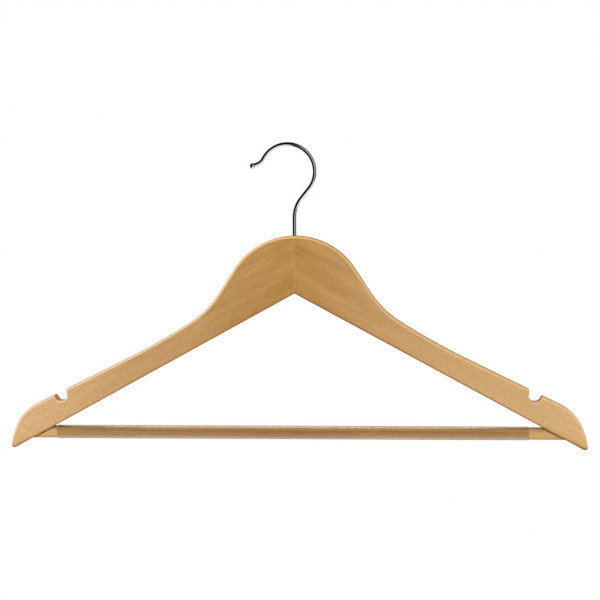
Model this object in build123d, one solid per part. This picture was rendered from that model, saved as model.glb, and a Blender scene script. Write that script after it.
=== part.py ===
from build123d import *
import os
from math import cos, radians, sin, sqrt, tan

# Flat wooden suit hanger: two arms glued at a centre seam, a wire hook that swivels in the neck,
# and a round trouser bar with a clear non-slip sleeve.
# Millimetres. X to the right, Y to the back, Z up. The origin is where a rail touches the hook,
# straight above the shank, so everything else hangs below it.

# The wooden arms, seen from the front
hanger_width = 446.2
arm_thickness = 12.0
neck_drop = 67.9
dome_radius = 54.9
flank_length = 23.2
neck_sweep_radius = 73.7
arm_sweep_radius = 544.0
tip_radius = 33.7
tip_side_radius = 55.6
edge_round = 2.0
corner_ease = 0.25

# Headings of the upper edge below the level, and of the underside, in degrees
flank_angle = 56.8
sweep_angle = 32.5
shoulder_angle = 26.2
tip_angle = 65.2
tip_end_angle = 120.0
underside_angle = 28.6
right_angle = 90.0
full_turn = 360.0

# The strap notch in each arm
notch_radius = 4.8
notch_throat = 2.4
notch_edge_round = 1.2
notch_from_tip = 39.5
notch_inner_lean = 9.5
notch_outer_lean = 28.0
wood_below_notch = 21.13

# The glued joint at the seam
tongue_thickness = 4.0
tongue_length = 6.0
glue_line = 0.1

# The hook
wire_diameter = 2.8
bow_radius = 20.9
bow_offset = 5.1
shank_lean = 39.2
lower_bend_radius = 23.8
bow_end_angle = 152.6
reverse_radius = 7.7
reverse_turn = 42.7
tail_length = 4.1
ball_diameter = 4.2
foot_diameter = 4.4
foot_height = 1.5
foot_chamfer = 0.3

# The brass ferrule that holds the hook
ferrule_diameter = 5.8
ferrule_length = 16.0
ferrule_sink = 0.6
barb_count = 4
barb_stand = 0.25
barb_slope = 1.6
ferrule_chamfer = 0.3
running_clearance = 0.06
ferrule_clearance = 0.05
foot_gap = 0.1
bore_spare = 1.2

# The trouser bar and its sleeve
bar_diameter = 9.5
bar_inset = 25.4
socket_reach = 17.5
bar_chamfer = 0.5
sleeve_clearance = 0.04
sleeve_wall = 0.3
rib_count = 36
rib_height = 0.06
rib_width = 0.35
bare_end_left = 2.0
bare_end_right = 10.2

# The brads that pin the bar
pin_diameter = 1.3
pilot_diameter = 1.0
pin_from_bar_end = 4.0
pin_sink = 0.6
pin_hold = 3.0
pin_point = 1.2

# Cuts run this far past the faces that they go through
overrun = 5.0

# Places worked out from the sizes above
half_width = hanger_width / 2
neck_top = -neck_drop
wire_radius = wire_diameter / 2
ferrule_radius = ferrule_diameter / 2
bar_radius = bar_diameter / 2
pin_radius = pin_diameter / 2


def onward(edge, length):
    """A straight edge that carries on from another one."""
    return Line(edge @ 1, edge @ 1 + edge % 1 * length)


def turn(edge, radius, angle):
    """An arc that carries on from another edge, to the left for a positive angle."""
    return JernArc(edge @ 1, edge % 1, radius, angle)


def shoulder_run():
    """Length of the straight shoulder that brings the arm to its full width."""
    flank = sin(radians(flank_angle))
    sweep = sin(radians(sweep_angle))
    shoulder = sin(radians(shoulder_angle))
    tip = sin(radians(tip_angle))
    reach = dome_radius * flank + flank_length * cos(radians(flank_angle))
    reach += neck_sweep_radius * (flank - sweep) + arm_sweep_radius * (sweep - shoulder)
    reach += tip_radius * (tip - shoulder) + tip_side_radius * (1 - tip)
    return (half_width - reach) / cos(radians(shoulder_angle))


def upper_edge():
    """Upper edges of the right arm, from the neck to the tip, and the straight shoulder in them."""
    dome = JernArc((0, neck_top), (1, 0), dome_radius, -flank_angle)
    flank = onward(dome, flank_length)
    neck_sweep = turn(flank, neck_sweep_radius, flank_angle - sweep_angle)
    arm_sweep = turn(neck_sweep, arm_sweep_radius, sweep_angle - shoulder_angle)
    shoulder = onward(arm_sweep, shoulder_run())
    tip = turn(shoulder, tip_radius, shoulder_angle - tip_angle)
    tip_side = turn(tip, tip_side_radius, tip_angle - tip_end_angle)
    return [dome, flank, neck_sweep, arm_sweep, shoulder, tip, tip_side], shoulder


def notch_middle(shoulder):
    """Centre of the round floor of the strap notch."""
    along = shoulder % 1
    run = (half_width - notch_from_tip - (shoulder @ 0).X) / along.X
    inward = Vector(along.Y, -along.X)
    return shoulder @ 0 + along * run + inward * notch_throat


arm_top, shoulder_edge = upper_edge()
notch_centre = notch_middle(shoulder_edge)
underside_slope = tan(radians(underside_angle))
seam_bottom = notch_centre.Y - wood_below_notch + notch_centre.X * underside_slope
seam_height = neck_top - seam_bottom


def underside(x):
    """Height of the straight underside of an arm at a distance from the seam."""
    return seam_bottom - x * underside_slope


bar_height = underside(half_width - bar_inset)
bar_end = half_width - bar_inset + socket_reach
pin_place = bar_end - pin_from_bar_end
pin_bottom = underside(pin_place) + pin_sink
pin_top = bar_height + bar_radius + pin_hold

ferrule_top = neck_top - ferrule_sink
ferrule_bottom = ferrule_top - ferrule_length
foot_top = ferrule_bottom - foot_gap
foot_bottom = foot_top - foot_height
bore_bottom = foot_bottom - bore_spare


def upright(flat):
    """Stand a drawing up, so that its second axis is the height."""
    return Plane.XZ * flat


def notch():
    """Outline of the strap notch: a round floor with two straight walls."""
    inner = Vector(sin(radians(notch_inner_lean)), cos(radians(notch_inner_lean)))
    outer = Vector(sin(radians(notch_outer_lean)), cos(radians(notch_outer_lean)))
    inner_foot = notch_centre + Vector(-inner.Y, inner.X) * notch_radius
    outer_foot = notch_centre + Vector(outer.Y, -outer.X) * notch_radius
    wall = notch_throat + notch_radius + overrun
    mouth = Polygon(
        [inner_foot, outer_foot, outer_foot + outer * wall, inner_foot + inner * wall], align=None
    )
    return mouth + Pos(notch_centre.X, notch_centre.Y) * Circle(notch_radius)


def arm_face():
    """Front outline of the right arm, from the seam to the tip."""
    below = underside(half_width) - half_width
    drop = Line(arm_top[-1] @ 1, (half_width, below))
    floor = Line((half_width, below), (0, below))
    seam = Line((0, below), (0, neck_top))
    plate = make_face(Curve() + arm_top + [drop, floor, seam])
    past_tip = half_width + overrun
    offcut = Polygon(
        [(0, seam_bottom), (past_tip, underside(past_tip)), (past_tip, below - overrun),
         (-overrun, below - overrun), (-overrun, seam_bottom)], align=None
    )
    face = plate - offcut
    tip_corner = sorted(face.vertices(), key=lambda v: (v.center() - floor @ 0).length)[:1]
    return fillet(tip_corner, edge_round + corner_ease)


def arm_plate():
    """The right arm as a plate with rounded edges and the notch, before any hole is drilled."""
    blank = extrude(upright(arm_face()), arm_thickness / 2, both=True)
    outline = blank.faces().filter_by(Axis.Y).edges()
    blank = fillet(outline.sort_by(Axis.X)[2:], edge_round)
    cutter = extrude(upright(notch()), arm_thickness, both=True)
    plate = blank - cutter
    rim = new_edges(blank, cutter, combined=plate)
    return fillet(rim, notch_edge_round)


def seam_block(clearance):
    """The part of the left arm that the tongue takes up, with room for the glue."""
    length = tongue_length + clearance
    thickness = tongue_thickness + 2 * clearance
    height = seam_height + 2 * overrun
    middle = (neck_top + seam_bottom) / 2
    return Pos(-length / 2, 0, middle) * Box(length, thickness, height)


def upright_rod(radius, low, high, x=0):
    """A vertical cylinder between two heights."""
    return Pos(x, 0, (low + high) / 2) * Cylinder(radius, high - low)


def level_rod(radius, left, right):
    """A cylinder along X at the height of the trouser bar."""
    lay = Pos((left + right) / 2, 0, bar_height) * Rot(0, right_angle, 0)
    return lay * Cylinder(radius, right - left)


def drillings():
    """Everything that is drilled out of the arms after they are glued."""
    hook_bore = upright_rod(ferrule_radius + ferrule_clearance, bore_bottom, neck_top + overrun)
    sockets = level_rod(bar_radius + glue_line, -bar_end - glue_line, bar_end + glue_line)
    cuts = [hook_bore, sockets]
    for x in (-pin_place, pin_place):
        cuts.append(upright_rod(pilot_diameter / 2, pin_bottom, pin_top, x))
        cuts.append(upright_rod(pin_radius, pin_bottom - overrun, pin_bottom, x))
    return cuts


def wooden_arms():
    """The left and the right arm, with the tongue joint and the drillings."""
    right = arm_plate()
    left = mirror(right, about=Plane.YZ)
    tongue = left & seam_block(0)
    left -= seam_block(glue_line)
    right += tongue
    for drilling in drillings():
        left -= drilling
        right -= drilling
    return left, right


def swivel_hook():
    """The bent wire with its ball end and the upset foot that turns below the ferrule."""
    lean = radians(shank_lean)
    inner_radius = bow_radius - wire_radius
    bow_centre = Vector(-bow_offset, -sqrt(inner_radius**2 - bow_offset**2))
    bow_start = bow_centre + Vector(cos(lean), -sin(lean)) * bow_radius
    corner = bow_start.Y - bow_start.X / tan(lean)
    bend_start = corner - lower_bend_radius * tan(lean / 2)
    shank = Line((0, foot_bottom), (0, bend_start))
    bend = turn(shank, lower_bend_radius, -shank_lean)
    slope = Line(bend @ 1, bow_start)
    bow = turn(slope, bow_radius, bow_end_angle + shank_lean)
    reverse = turn(bow, reverse_radius, -reverse_turn)
    tail = onward(reverse, tail_length)
    path = upright(Curve() + [shank, bend, slope, bow, reverse, tail])
    section = Pos(0, 0, foot_bottom) * Circle(wire_radius)
    wire = sweep(section, path.wire())
    ball = upright(Pos((tail @ 1).X, (tail @ 1).Y) * Sphere(ball_diameter / 2))
    foot = upright_rod(foot_diameter / 2, foot_bottom, foot_top)
    foot = chamfer(foot.edges().filter_by(GeomType.CIRCLE), foot_chamfer)
    return wire + ball + foot


def hook_ferrule():
    """The barbed sleeve: each barb is flat on top and slopes off downwards."""
    bore = wire_radius + running_clearance
    pitch = ferrule_length / (barb_count + 1)
    outline = [(bore, ferrule_top), (ferrule_radius, ferrule_top)]
    for barb in range(barb_count):
        level = ferrule_top - pitch * (barb + 1) + barb_slope
        outline.append((ferrule_radius, level))
        outline.append((ferrule_radius + barb_stand, level))
        outline.append((ferrule_radius, level - barb_slope))
    outline.append((ferrule_radius, ferrule_bottom + ferrule_chamfer))
    outline.append((ferrule_radius - ferrule_chamfer, ferrule_bottom))
    outline.append((bore, ferrule_bottom))
    return revolve(upright(Polygon(outline, align=None)), Axis.Z)


def trouser_bar():
    """The dowel, with pilot holes for the brads."""
    bar = level_rod(bar_radius, -bar_end, bar_end)
    bar = chamfer(bar.edges().filter_by(GeomType.CIRCLE), bar_chamfer)
    for x in (-pin_place, pin_place):
        bar -= upright_rod(pilot_diameter / 2, pin_bottom, pin_top, x)
    return bar


def grip_sleeve():
    """The ribbed non-slip tube over the dowel."""
    bore = bar_radius + sleeve_clearance
    skin = bore + sleeve_wall
    crown = skin + rib_height
    arm_meets = (seam_bottom - bar_height - crown) / tan(radians(underside_angle))
    left = bare_end_left - arm_meets
    right = arm_meets - bare_end_right
    rib = Pos(skin, 0) * Rectangle(2 * rib_height, rib_width)
    ribs = [Rot(0, 0, full_turn * step / rib_count) * rib for step in range(rib_count)]
    section = Circle(skin) + ribs - Circle(bore)
    start = Pos(left, 0, bar_height) * Rot(0, right_angle, 0)
    return extrude(start * section, right - left)


def bar_pin(x):
    """A headless brad with a cone point, driven up from the underside."""
    shaft = upright_rod(pin_radius, pin_bottom, pin_top - pin_point, x)
    cone = Pos(x, 0, pin_top - pin_point / 2) * Cone(pin_radius, 0, pin_point)
    return shaft + cone


left_arm, right_arm = wooden_arms()
parts = {
    "left_arm": left_arm,
    "right_arm": right_arm,
    "swivel_hook": swivel_hook(),
    "hook_ferrule": hook_ferrule(),
    "trouser_bar": trouser_bar(),
    "grip_sleeve": grip_sleeve(),
    "left_bar_pin": bar_pin(-pin_place),
    "right_bar_pin": bar_pin(pin_place),
}

os.makedirs("parts", exist_ok=True)
for node, solid in parts.items():
    export_step(solid, f"parts/{node}.step")
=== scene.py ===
from math import cos, radians, sin, tan, tau
from typing import NamedTuple

import bmesh
import bpy
from mathutils import Matrix, Vector


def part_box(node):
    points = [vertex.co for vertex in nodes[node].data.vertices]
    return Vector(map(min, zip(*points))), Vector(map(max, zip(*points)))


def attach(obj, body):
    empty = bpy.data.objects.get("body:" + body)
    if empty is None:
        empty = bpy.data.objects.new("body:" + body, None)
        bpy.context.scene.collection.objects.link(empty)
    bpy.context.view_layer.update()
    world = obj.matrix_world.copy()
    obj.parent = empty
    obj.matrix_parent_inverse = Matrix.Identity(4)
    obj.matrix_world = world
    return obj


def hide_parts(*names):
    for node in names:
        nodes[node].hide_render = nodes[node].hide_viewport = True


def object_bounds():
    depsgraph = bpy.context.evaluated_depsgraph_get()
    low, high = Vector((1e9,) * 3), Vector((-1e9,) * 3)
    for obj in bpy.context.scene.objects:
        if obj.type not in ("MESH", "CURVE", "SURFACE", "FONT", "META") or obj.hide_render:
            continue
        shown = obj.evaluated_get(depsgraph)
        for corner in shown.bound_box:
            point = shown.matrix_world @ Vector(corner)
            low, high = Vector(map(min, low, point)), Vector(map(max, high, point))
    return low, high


# Finishes, lights and camera for a wooden suit hanger. Metres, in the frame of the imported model:
# X to the right, Y to the back, Z up, with the origin where a rail touches the hook.

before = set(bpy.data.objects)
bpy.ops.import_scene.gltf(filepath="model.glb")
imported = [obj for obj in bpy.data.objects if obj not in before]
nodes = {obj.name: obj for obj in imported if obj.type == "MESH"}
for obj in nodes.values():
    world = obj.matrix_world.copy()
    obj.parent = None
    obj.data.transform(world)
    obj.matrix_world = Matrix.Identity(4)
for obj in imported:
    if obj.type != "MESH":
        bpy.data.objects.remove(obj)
cad_low, cad_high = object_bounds()

# Places on the hanger
half_width = cad_high.x
bar_middle = sum(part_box("trouser_bar"), Vector()).z / 2

# Grain and underside of each arm below the level, and the foot of the seam between the arms
grain_angle = radians(27.4)
underside_angle = radians(28.6)
seam_foot = -0.112

# Widths of the line of glue at the seam, of the painted shadow line where the bar enters an arm with the
# share of it that is full dark, and of the painted shade along the underside of a tip
seam_line = 0.0003
socket_shadow_line = 0.0010
socket_shadow_core_share = 0.75
tip_shade_width = 0.005

# Dark streak along the bar: its height over the middle, its fall along the bar, its sway, and how
# far from its course it is still full dark and gone
streak_height = 0.0015
streak_fall = -0.0044
streak_sway = 0.0006
streak_core = 0.0003
streak_reach = 0.0016

# Clear sleeve: its wall, the ribs that stand on it and the rounding of its lips
sleeve_wall = 0.0003
rib_count = 36
rib_height = 0.00006
sides_per_rib = 8
sleeve_lip = 0.00012
sharp_edge = radians(40)

# Depth of the fine relief on each surface
wood_relief = 0.000004
pore_relief_share = -0.6
chrome_relief = 0.000002
sleeve_relief = 0.000006
turned_relief = 0.00002

# Camera of the photograph
camera_place = Vector((0.10172, -1.21933, -0.02001))
camera_yaw = -0.0801
camera_pitch = -0.0793
camera_roll = -0.0084
camera_lens = 96.0
sensor_width = 36.0

# Floor: its radius, its height, the sides of its round, how far out it starts to fade and is gone,
# and its own light to the camera
floor_radius = 1.2
floor_height = -0.75
floor_sides = 96
fade_start = 0.5 * floor_radius
fade_end = 0.98 * floor_radius
floor_glow = 0.45


class Mark(NamedTuple):
    """A kind of mark in wood: noise of this size along the grain, through the plank and across the
    grain. It comes in between two levels, up to its share, and multiplies its tint into the tone."""

    size: tuple
    low: float
    high: float
    tint: tuple
    share: float = 1.0
    detail: float = 2.0
    roughness: float = 0.5


class Panel(NamedTuple):
    """A pale part of the studio: its direction, and the cosines to it where it starts and is full."""

    aim: tuple
    start: float
    full: float


# Marks in the wood
rings = Mark((0.070, 0.011, 0.0065), 0.35, 0.65, (0.85, 0.77, 0.60), detail=3.0, roughness=0.55)
streaks = Mark((0.024, 0.0022, 0.0013), 0.35, 0.68, (0.88, 0.84, 0.76), 0.5, detail=3.0, roughness=0.6)
flecks = Mark((0.0024, 0.0011, 0.0009), 0.32, 0.68, (0.84, 0.80, 0.72), roughness=0.6)
fibres = Mark((0.0065, 0.00032, 0.00026), 0.3, 0.7, (0.86, 0.80, 0.70), 0.7)
mottle = Mark((0.014, 0.008, 0.006), 0.4, 0.7, (0.96, 1.03, 0.92), 0.8)
pores = Mark((0.0022, 0.00022, 0.00017), 0.66, 0.74, (0.62, 0.48, 0.34), detail=1.0)
pore_share = 0.45

# Colours of painted shade and shadow on the wood, of the glue and of the streak on the bar, and the shares
# of the painted highlight, the glue and the painted shadow
lower_edge_shade = (0.66, 0.50, 0.35)
tip_edge_shade = (0.30, 0.18, 0.08)
notch_shade = (0.72, 0.60, 0.46)
tip_underside_shade = (0.92, 0.78, 0.62)
glue_colour = (0.80, 0.56, 0.30)
streak_tint = (0.82, 0.71, 0.56)
socket_shadow_tone = (0.065, 0.026, 0.007)
rim_highlight_share = 0.9
glue_share = 0.12
socket_shadow_share = 0.95

# Colours of the other materials, plain and where they are hazy, lined, stained or speckled
chrome_tone = (0.84, 0.85, 0.87)
hazy_tone = (0.76, 0.77, 0.80)
sleeve_tone = (0.96, 0.90, 0.79)
sleeve_line_tone = (0.87, 0.81, 0.71)
sleeve_shadow_tone = (0.96, 0.95, 0.93)
brass_tone = (0.72, 0.52, 0.24)
stained_brass_tone = (0.50, 0.33, 0.13)
steel_tone = (0.58, 0.58, 0.60)
stained_steel_tone = (0.36, 0.34, 0.33)
floor_tone = (0.86, 0.86, 0.86)
floor_speck_tone = (0.83, 0.83, 0.83)

# What the chrome reflects, and the soft light from all round, stronger from below and in front
dark_studio = (0.004, 0.004, 0.005)
low_panel_colour = (1.0, 1.08, 1.22)
side_panel_colour = (0.62, 0.58, 0.61)
below_panel = Panel((0.45, -0.10, -0.89), 0.62, 0.80)
beside_panel = Panel((0.60, -0.75, 0.28), 0.78, 0.93)
behind_panel = Panel((-0.52, 0.80, 0.30), 0.78, 0.93)
soft_side = Panel((-0.10, -0.55, -0.83), -0.5, 0.7)
soft_low = 0.30
soft_high = 1.15
white = (1.0, 1.0, 1.0)

# Tones of the wood and of the painted highlight on its upper edges, by their share of the way from the
# middle to a tip
left_stops = [
    (0.0, (0.46, 0.252, 0.068)),
    (0.2, (0.465, 0.261, 0.090)),
    (0.31, (0.49, 0.286, 0.111)),
    (0.5, (0.50, 0.295, 0.125)),
    (0.8, (0.60, 0.38, 0.19)),
    (1.0, (0.68, 0.42, 0.23)),
]
right_stops = [
    (0.0, (0.455, 0.247, 0.063)),
    (0.2, (0.515, 0.306, 0.126)),
    (0.5, (0.58, 0.357, 0.165)),
    (0.8, (0.62, 0.395, 0.195)),
    (1.0, (0.68, 0.44, 0.235)),
]
left_rim_highlight = [
    (0.0, (0.73, 0.42, 0.18)),
    (0.5, (0.73, 0.52, 0.31)),
    (1.0, (0.77, 0.52, 0.30)),
]
right_rim_highlight = [
    (0.0, (0.72, 0.40, 0.16)),
    (0.4, (0.70, 0.44, 0.20)),
    (0.8, (0.72, 0.46, 0.225)),
    (1.0, (0.84, 0.53, 0.29)),
]
bar_stops = [
    (0.0, (0.565, 0.345, 0.145)),
    (1.0, (0.60, 0.38, 0.18)),
]

# Where each plank was cut from the noise, and how strong the painted shade is along the lower edges of
# each arm
left_cut = (0.31, 0.02, 0.07)
right_cut = (0.11, 0.05, 0.23)
bar_cut = (0.02, 0.09, 0.41)
left_edge_shade_share = 0.45
right_edge_shade_share = 0.8


class Nodes:
    """Short ways to add nodes to a tree."""

    def __init__(self, tree):
        self.tree = tree

    def node(self, kind, **settings):
        made = self.tree.nodes.new("ShaderNode" + kind)
        for setting, value in settings.items():
            setattr(made, setting, value)
        return made

    def feed(self, socket, value):
        if isinstance(value, bpy.types.NodeSocket):
            self.tree.links.new(value, socket)
        else:
            socket.default_value = value

    def maths(self, operation, *values):
        made = self.node("Math", operation=operation)
        for socket, value in zip(made.inputs, values):
            self.feed(socket, value)
        return made.outputs[0]

    def spread(self, value, low, high, to_low=0.0, to_high=1.0, kind="LINEAR"):
        """Carries a value from one range to another, held at its ends."""
        made = self.node("MapRange", interpolation_type=kind)
        for socket, given in zip(made.inputs, (value, low, high, to_low, to_high)):
            self.feed(socket, given)
        return made.outputs[0]

    def mix(self, share, first, second, blend="MIX"):
        made = self.node("Mix", data_type="RGBA", blend_type=blend)
        colours = [s for s in made.inputs if s.type == "RGBA"]
        self.feed(made.inputs[0], share)
        for socket, colour in zip(colours, (first, second)):
            self.feed(socket, colour if isinstance(colour, bpy.types.NodeSocket) else (*colour, 1.0))
        return next(s for s in made.outputs if s.type == "RGBA")

    def tint(self, share, tone, colour):
        """A tone with a share of this colour multiplied into it."""
        return self.mix(share, tone, colour, "MULTIPLY")


class Finish(Nodes):
    """A node material that is built up step by step."""

    def __init__(self, name):
        self.material = bpy.data.materials.new(name)
        self.material.use_nodes = True
        super().__init__(self.material.node_tree)
        self.surface = self.tree.nodes["Principled BSDF"]
        self.place = self.node("TexCoord").outputs["Object"]

    def noise(self, size, angle=0.0, shift=(0.0, 0.0, 0.0), detail=2.0, roughness=0.5):
        """Noise whose blobs have this size along X, Y and Z, turned by an angle about Y."""
        turned = self.node("Mapping", vector_type="TEXTURE")
        self.feed(turned.inputs["Vector"], self.place)
        turned.inputs["Location"].default_value = shift
        turned.inputs["Rotation"].default_value = (0.0, angle, 0.0)
        turned.inputs["Scale"].default_value = size
        noise = self.node("TexNoise")
        self.feed(noise.inputs["Vector"], turned.outputs[0])
        noise.inputs["Scale"].default_value = 1.0
        noise.inputs["Detail"].default_value = detail
        noise.inputs["Roughness"].default_value = roughness
        return noise.outputs["Fac"]

    def ramp(self, value, stops):
        """Colour by value, through stops of (value, colour)."""
        made = self.node("ValToRGB")
        self.feed(made.inputs[0], value)
        while len(made.color_ramp.elements) < len(stops):
            made.color_ramp.elements.new(0.5)
        for element, (at, colour) in zip(made.color_ramp.elements, stops):
            element.position = at
            element.color = (*colour, 1.0)
        return made.outputs[0]

    def axes(self, vector):
        """The parts of a vector, by the names X, Y and Z."""
        made = self.node("SeparateXYZ")
        self.feed(made.inputs[0], vector)
        return made.outputs

    def bump(self, height, depth):
        made = self.node("Bump")
        made.inputs["Strength"].default_value = 1.0
        made.inputs["Distance"].default_value = depth
        self.feed(made.inputs["Height"], height)
        self.feed(self.surface.inputs["Normal"], made.outputs[0])

    def set(self, **values):
        for name, value in values.items():
            self.feed(self.surface.inputs[name.replace("_", " ")], value)


def wood(name, angle, cut, stops, coat):
    """Lacquered pale hardwood with the grain at an angle below the level, toned from the middle
    of the hanger outwards. Gives the finish, the place across, its share outwards, tone and gloss."""
    made = Finish(name)
    across = made.maths("ABSOLUTE", made.axes(made.place)["X"])
    outward = made.maths("DIVIDE", across, half_width)
    tone = made.ramp(outward, stops)

    def noise(mark):
        return made.noise(mark.size, angle, cut, mark.detail, mark.roughness)

    # growth rings, which show most near the seam
    ring_mask = made.spread(noise(rings), rings.low, rings.high)
    near_seam = made.spread(outward, low=0.15, high=0.45, to_low=1.0, to_high=0.35)
    tone = made.tint(made.maths("MULTIPLY", ring_mask, near_seam), tone, rings.tint)

    # streaks, flecks, fibres and mottling
    fibre_noise = noise(fibres)
    for mark, level in (
        (streaks, noise(streaks)),
        (flecks, noise(flecks)),
        (fibres, fibre_noise),
        (mottle, noise(mottle)),
    ):
        tone = made.tint(made.spread(level, mark.low, mark.high, to_high=mark.share), tone, mark.tint)

    # pores, which also sink into the surface
    pore_mask = made.spread(noise(pores), pores.low, pores.high)
    tone = made.tint(made.maths("MULTIPLY", pore_mask, pore_share), tone, pores.tint)
    dips = made.maths("MULTIPLY", pore_mask, pore_relief_share)
    made.bump(made.maths("ADD", fibre_noise, dips), wood_relief)

    gloss = made.spread(fibre_noise, fibres.low, fibres.high, to_low=0.38, to_high=0.50)
    made.set(Specular_IOR_Level=0.2, Coat_Weight=coat, Coat_Roughness=0.25, Coat_IOR=1.5)
    return made, across, outward, tone, gloss


def over_underside(made, across):
    """Height over the plane of the arms' undersides."""
    slope = made.maths("MULTIPLY", across, tan(underside_angle))
    return made.maths("SUBTRACT", made.maths("ADD", made.axes(made.place)["Z"], slope), seam_foot)


def arm_wood(name, angle, cut, stops, highlight_stops, edge_shade_share):
    """Wood of an arm, with a painted highlight on its upper edges, painted shade on its lower edges, on
    the notch wall and under the tip, and the glue of the seam. The edges are found by the way that the
    surface faces: sideways along X, flat along Y and upwards along Z."""
    made, across, outward, tone, gloss = wood(name, angle, cut, stops, coat=0.12)
    sideways, depth, upwards = made.axes(made.node("TexCoord").outputs["Normal"])
    flat = made.maths("MULTIPLY", depth, depth)

    # upper edges lightened with a painted highlight, most of all on the rounding
    rounding = made.spread(flat, low=0.92, high=0.996, to_low=1.0, to_high=0.0)
    side_share = made.spread(outward, low=0.12, high=0.35, to_low=0.0, to_high=0.5)
    highlit = made.maths("MULTIPLY", rounding, made.spread(flat, 0.0, 0.1, side_share, 1.0))
    upper = made.maths("MULTIPLY", highlit, made.spread(upwards, low=0.0, high=0.12))
    tone = made.mix(made.maths("MULTIPLY", upper, rim_highlight_share), tone, made.ramp(outward, highlight_stops))

    # lower edges darkened with painted shade, darkest at the tips
    lower = made.spread(upwards, low=-0.30, high=-0.08, to_low=1.0, to_high=0.0)
    edge_shade = made.mix(made.spread(outward, low=0.90, high=0.99), lower_edge_shade, tip_edge_shade)
    tone = made.tint(made.maths("MULTIPLY", lower, edge_shade_share), tone, edge_shade)

    # painted shade on the wall of the notch that faces the hook, and under the tip
    inward = made.maths("MULTIPLY", sideways, made.maths("SIGN", made.axes(made.place)["X"]))
    steep = made.spread(inward, low=-0.60, high=-0.25, to_low=1.0, to_high=0.0)
    shaded_notch_wall = made.maths("MULTIPLY", steep, made.spread(upwards, low=-0.2, high=0.1))
    tone = made.tint(shaded_notch_wall, tone, notch_shade)
    near_tip = made.spread(outward, low=0.85, high=0.97)
    near_underside = made.spread(over_underside(made, across), 0.0, tip_shade_width, 1.0, 0.0)
    tone = made.tint(made.maths("MULTIPLY", near_tip, near_underside), tone, tip_underside_shade)

    # dried glue in the seam between the arms
    glue = made.spread(across, seam_line / 2, seam_line, 1.0, 0.0)
    tone = made.mix(made.maths("MULTIPLY", glue, glue_share), tone, glue_colour)

    # the sawn sides are duller than the faces
    sawn = made.spread(flat, low=0.3, high=0.9, to_low=0.9, to_high=0.0)
    made.set(Base_Color=tone, Roughness=made.maths("MAXIMUM", gloss, sawn))
    return made.material


def bar_wood(name, cut, stops):
    """Wood of the bar, with a darker streak that runs a little out of level, and a painted shadow line
    where it enters the arms."""
    made, across, outward, tone, gloss = wood(name, 0.0, cut, stops, coat=0.0)
    along = made.axes(made.place)["X"]
    height = made.axes(made.place)["Z"]
    waver = made.noise((0.05, 0.02, 0.02), shift=cut)
    sway = made.spread(waver, low=0.3, high=0.7, to_low=-streak_sway, to_high=streak_sway)
    slope = made.maths("MULTIPLY_ADD", along, streak_fall, bar_middle + streak_height)
    aside = made.maths("ABSOLUTE", made.maths("SUBTRACT", height, made.maths("ADD", sway, slope)))
    core = made.spread(aside, streak_core, streak_reach, 1.0, 0.0)
    ends = made.spread(outward, low=0.72, high=0.78, to_low=1.0, to_high=0.0)
    tone = made.tint(made.maths("MULTIPLY", core, ends), tone, streak_tint)
    # painted shadow of the arm's lower edge, along the line where the bar enters it
    shadow_line_mask = made.spread(over_underside(made, across), -socket_shadow_line, -socket_shadow_core_share * socket_shadow_line)
    tone = made.mix(made.maths("MULTIPLY", shadow_line_mask, socket_shadow_share), tone, socket_shadow_tone)
    made.set(Base_Color=tone, Roughness=gloss)
    return made.material


def chrome():
    """Bright plating with a slight haze and fine lines from drawing the wire."""
    made = Finish("chrome_plating")
    haze = made.noise((0.004, 0.004, 0.006), detail=4.0)
    lines = made.noise((0.0006, 0.0006, 0.02))
    tone = made.mix(made.spread(haze, low=0.35, high=0.7), chrome_tone, hazy_tone)
    gloss = made.spread(lines, low=0.3, high=0.8, to_low=0.02, to_high=0.06)
    made.bump(lines, chrome_relief)
    made.set(Base_Color=tone, Roughness=gloss, Metallic=1.0)
    return made.material


def turned_metal(name, light, dark, ring):
    """Bare metal with fine rings round the vertical axis."""
    made = Finish(name)
    grooves = made.noise((0.02, 0.02, ring), detail=3.0)
    stain = made.noise((0.002, 0.002, 0.003), detail=4.0)
    tone = made.mix(made.spread(stain, low=0.4, high=0.75), light, dark)
    gloss = made.spread(grooves, low=0.3, high=0.7, to_low=0.2, to_high=0.4)
    made.bump(grooves, turned_relief)
    made.set(Base_Color=tone, Roughness=gloss, Metallic=1.0)
    return made.material


def clear_sleeve():
    """Soft clear tube, with fine lines from drawing along its length and some dust. It lets the
    lamps through to the wood below it."""
    made = Finish("clear_tube")
    lines = made.noise((0.06, 0.0007, 0.0007))
    dust = made.noise((0.003, 0.0015, 0.0015), detail=4.0)
    tone = made.mix(made.spread(lines, low=0.35, high=0.7), sleeve_tone, sleeve_line_tone)
    gloss = made.spread(dust, low=0.4, high=0.75, to_low=0.08, to_high=0.16)
    made.bump(lines, sleeve_relief)
    made.set(Base_Color=tone, Roughness=gloss, IOR=1.49, Transmission_Weight=1.0)
    lets_light = made.node("BsdfTransparent")
    lets_light.inputs["Color"].default_value = (*sleeve_shadow_tone, 1.0)
    shadow = made.node("LightPath").outputs["Is Shadow Ray"]
    both = made.node("MixShader")
    made.feed(both.inputs[0], shadow)
    made.feed(both.inputs[1], made.surface.outputs[0])
    made.feed(both.inputs[2], lets_light.outputs[0])
    made.feed(made.tree.nodes["Material Output"].inputs["Surface"], both.outputs[0])
    return made.material


def finish_node(name, material):
    """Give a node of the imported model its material."""
    mesh = nodes[name].data
    mesh.materials.clear()
    mesh.materials.append(material)


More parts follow.
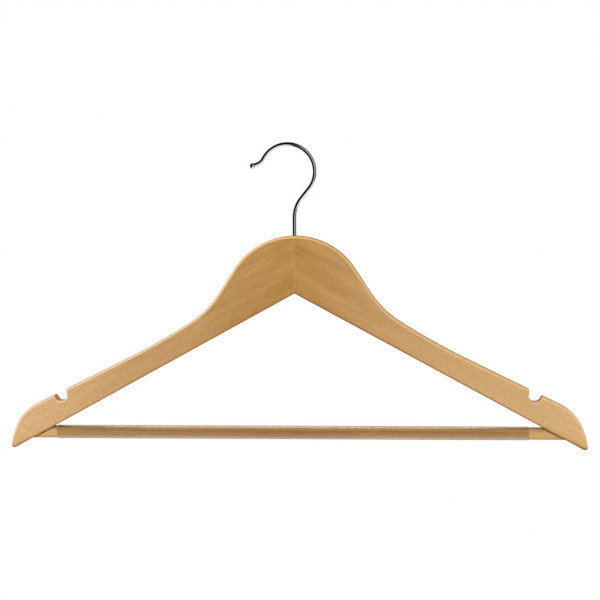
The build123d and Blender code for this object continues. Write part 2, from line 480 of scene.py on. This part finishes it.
def finish_nodes():
    """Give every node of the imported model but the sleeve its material."""
    left = arm_wood("left_arm_wood", -grain_angle, left_cut, left_stops, left_rim_highlight, left_edge_shade_share)
    right = arm_wood("right_arm_wood", grain_angle, right_cut, right_stops, right_rim_highlight, right_edge_shade_share)
    finish_node("left_arm", left)
    finish_node("right_arm", right)
    finish_node("trouser_bar", bar_wood("bar_wood", bar_cut, bar_stops))
    finish_node("swivel_hook", chrome())
    brass = turned_metal("turned_brass", brass_tone, stained_brass_tone, ring=0.00015)
    finish_node("hook_ferrule", brass)
    for pin in ("left_bar_pin", "right_bar_pin"):
        steel = turned_metal("drawn_steel_" + pin, steel_tone, stained_steel_tone, ring=0.0002)
        finish_node(pin, steel)


def sleeve_tube():
    """The clear tube round the bar, with ribs along it and rounded lips."""
    low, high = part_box("grip_sleeve")
    skin = (high.z - low.z) / 2 - rib_height
    bore = skin - sleeve_wall

    # rings of the tube as (place along the bar, radius, share of the ribs' height)
    section = (
        (low.x, bore, 0.0),
        (low.x, skin - sleeve_lip, 0.0),
        (low.x + sleeve_lip, skin, 1.0),
        (high.x - sleeve_lip, skin, 1.0),
        (high.x, skin - sleeve_lip, 0.0),
        (high.x, bore, 0.0),
    )
    sides = sides_per_rib * rib_count
    shape = bmesh.new()
    loops = []
    for place, radius, ribbed in section:
        loop = []
        for step in range(sides):
            turn = tau * step / sides
            reach = radius + ribbed * rib_height * (1.0 + cos(rib_count * turn)) / 2
            loop.append(shape.verts.new((place, reach * sin(turn), bar_middle + reach * cos(turn))))
        loops.append(loop)
    for first, second in zip(loops, loops[1:] + loops[:1]):
        for step in range(sides):
            shape.faces.new((first[step - 1], first[step], second[step], second[step - 1]))
    bmesh.ops.recalc_face_normals(shape, faces=shape.faces)
    mesh = bpy.data.meshes.new("ribbed_sleeve")
    shape.to_mesh(mesh)
    shape.free()
    mesh.shade_smooth()
    mesh.set_sharp_from_angle(angle=sharp_edge)
    mesh.materials.append(clear_sleeve())
    tube = bpy.data.objects.new("ribbed_sleeve", mesh)
    bpy.context.scene.collection.objects.link(tube)
    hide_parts("grip_sleeve")
    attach(tube, "hanger")
    return tube


def make_camera():
    """The photograph's camera, from its place and its three angles."""
    forward = Vector((
        sin(camera_yaw) * cos(camera_pitch),
        cos(camera_yaw) * cos(camera_pitch),
        sin(camera_pitch),
    ))
    level = Vector((cos(camera_yaw), -sin(camera_yaw), 0.0))
    up = level.cross(forward)
    right = level * cos(camera_roll) + up * sin(camera_roll)
    top = up * cos(camera_roll) - level * sin(camera_roll)
    camera = bpy.data.objects.new("photo_camera", bpy.data.cameras.new("photo_camera"))
    camera.matrix_world = Matrix((right, top, -forward)).transposed().to_4x4()
    camera.location = camera_place
    camera.data.lens = camera_lens
    camera.data.sensor_width = sensor_width
    bpy.context.scene.collection.objects.link(camera)
    bpy.context.scene.camera = camera


def lit_group(name, pieces, state):
    """A group of pieces that a lamp is kept to, or kept away from."""
    group = bpy.data.collections.new(name)
    for piece in pieces:
        group.objects.link(piece)
    for member in group.collection_objects:
        member.light_linking.link_state = state
    return group


def softbox(name, place, aim, width, height, power, group):
    """A large rectangular lamp that points at a place."""
    lamp = bpy.data.lights.new(name, "AREA")
    lamp.shape = "RECTANGLE"
    lamp.size = width
    lamp.size_y = height
    lamp.energy = power
    holder = bpy.data.objects.new(name, lamp)
    holder.location = place
    holder.rotation_euler = (Vector(aim) - Vector(place)).to_track_quat("-Z", "Y").to_euler()
    holder.light_linking.receiver_collection = group
    holder.visible_camera = False
    bpy.context.scene.collection.objects.link(holder)


def light_studio(sleeve, floor):
    """Soft lamps for the wood, kept off the chrome and the sleeve, and two that give the sleeve its
    bright lines."""
    middle = (0.0, 0.0, -0.15)
    bar = (0.0, 0.0, bar_middle)
    hook = nodes["swivel_hook"]
    mirrors = lit_group("mirrors", [hook, sleeve], "EXCLUDE")
    wood_alone = lit_group("wood_alone", [hook, sleeve, floor], "EXCLUDE")
    tube = lit_group("tube", [sleeve], "INCLUDE")
    softbox("key", (-0.70, -1.40, 0.20), middle, width=0.9, height=0.7, power=6.5, group=mirrors)
    softbox("above", (-0.2, -0.3, 0.9), middle, width=1.0, height=0.6, power=4.5, group=mirrors)
    softbox("bounce", (0.0, -0.75, -0.70), middle, width=1.1, height=0.6, power=4.5, group=wood_alone)
    softbox("back", (0.95, 1.15, 0.1), middle, width=1.0, height=0.8, power=9.0, group=wood_alone)
    softbox("behind", (0.2, 1.4, 0.0), middle, width=2.0, height=1.0, power=3.0, group=wood_alone)
    softbox("overhead", (0.0, 0.15, 0.5), bar, width=1.2, height=0.3, power=4.0, group=tube)
    softbox("underneath", (0.0, -0.20, -0.65), bar, width=1.2, height=0.3, power=0.5, group=tube)


def make_world():
    """White where the camera looks and through the sleeve, soft light on the wood, and a dark studio
    with three pale panels in reflections."""
    world = bpy.data.worlds.new("studio")
    world.use_nodes = True
    bpy.context.scene.world = world
    sky = Nodes(world.node_tree)
    path = sky.node("LightPath").outputs
    direction = sky.node("TexCoord").outputs["Generated"]

    def towards(panel, to_low=0.0, to_high=1.0):
        product = sky.node("VectorMath", operation="DOT_PRODUCT")
        sky.feed(product.inputs[0], direction)
        sky.feed(product.inputs[1], panel.aim)
        return sky.spread(product.outputs["Value"], panel.start, panel.full, to_low, to_high, "SMOOTHSTEP")

    sides = sky.maths("MAXIMUM", towards(beside_panel), towards(behind_panel))
    panels = sky.mix(towards(below_panel), dark_studio, low_panel_colour)
    panels = sky.mix(sides, panels, side_panel_colour)
    around = towards(soft_side, soft_low, soft_high)
    ambient = sky.mix(path["Is Glossy Ray"], around, panels)
    seen = sky.maths("MAXIMUM", path["Is Camera Ray"], path["Is Transmission Ray"])
    sky.feed(sky.tree.nodes["Background"].inputs["Color"], sky.mix(seen, ambient, white))


def make_floor():
    """A pale floor far below, which fades into the white round it and hides nothing from below."""
    made = Finish("pale_floor")
    x = made.axes(made.place)["X"]
    y = made.axes(made.place)["Y"]
    squares = made.maths("ADD", made.maths("MULTIPLY", x, x), made.maths("MULTIPLY", y, y))
    away = made.maths("SQRT", squares)
    fade = made.spread(away, fade_start, fade_end, kind="SMOOTHSTEP")
    speckle = made.noise((0.02, 0.02, 0.02), detail=5.0)
    tone = made.mix(made.spread(speckle, low=0.3, high=0.7), floor_tone, floor_speck_tone)
    path = made.node("LightPath").outputs
    seen = made.maths("MAXIMUM", path["Is Camera Ray"], path["Is Transmission Ray"])
    underside = made.node("NewGeometry").outputs["Backfacing"]
    open_to = made.maths("MAXIMUM", path["Is Glossy Ray"], underside)
    made.set(Base_Color=tone, Roughness=0.8, Emission_Color=(*white, 1.0))
    made.set(Emission_Strength=made.maths("MULTIPLY", seen, floor_glow))
    made.set(Alpha=made.maths("SUBTRACT", 1.0, made.maths("MAXIMUM", fade, open_to)))
    bpy.ops.mesh.primitive_circle_add(
        vertices=floor_sides, radius=floor_radius, fill_type="NGON", location=(0, 0, floor_height)
    )
    floor = bpy.context.active_object
    floor.name = "floor"
    floor.data.materials.append(made.material)
    return floor


finish_nodes()
make_camera()
make_world()
floor = make_floor()
sleeve = sleeve_tube()
light_studio(sleeve, floor)
bpy.context.scene.view_settings.view_transform = "Standard"
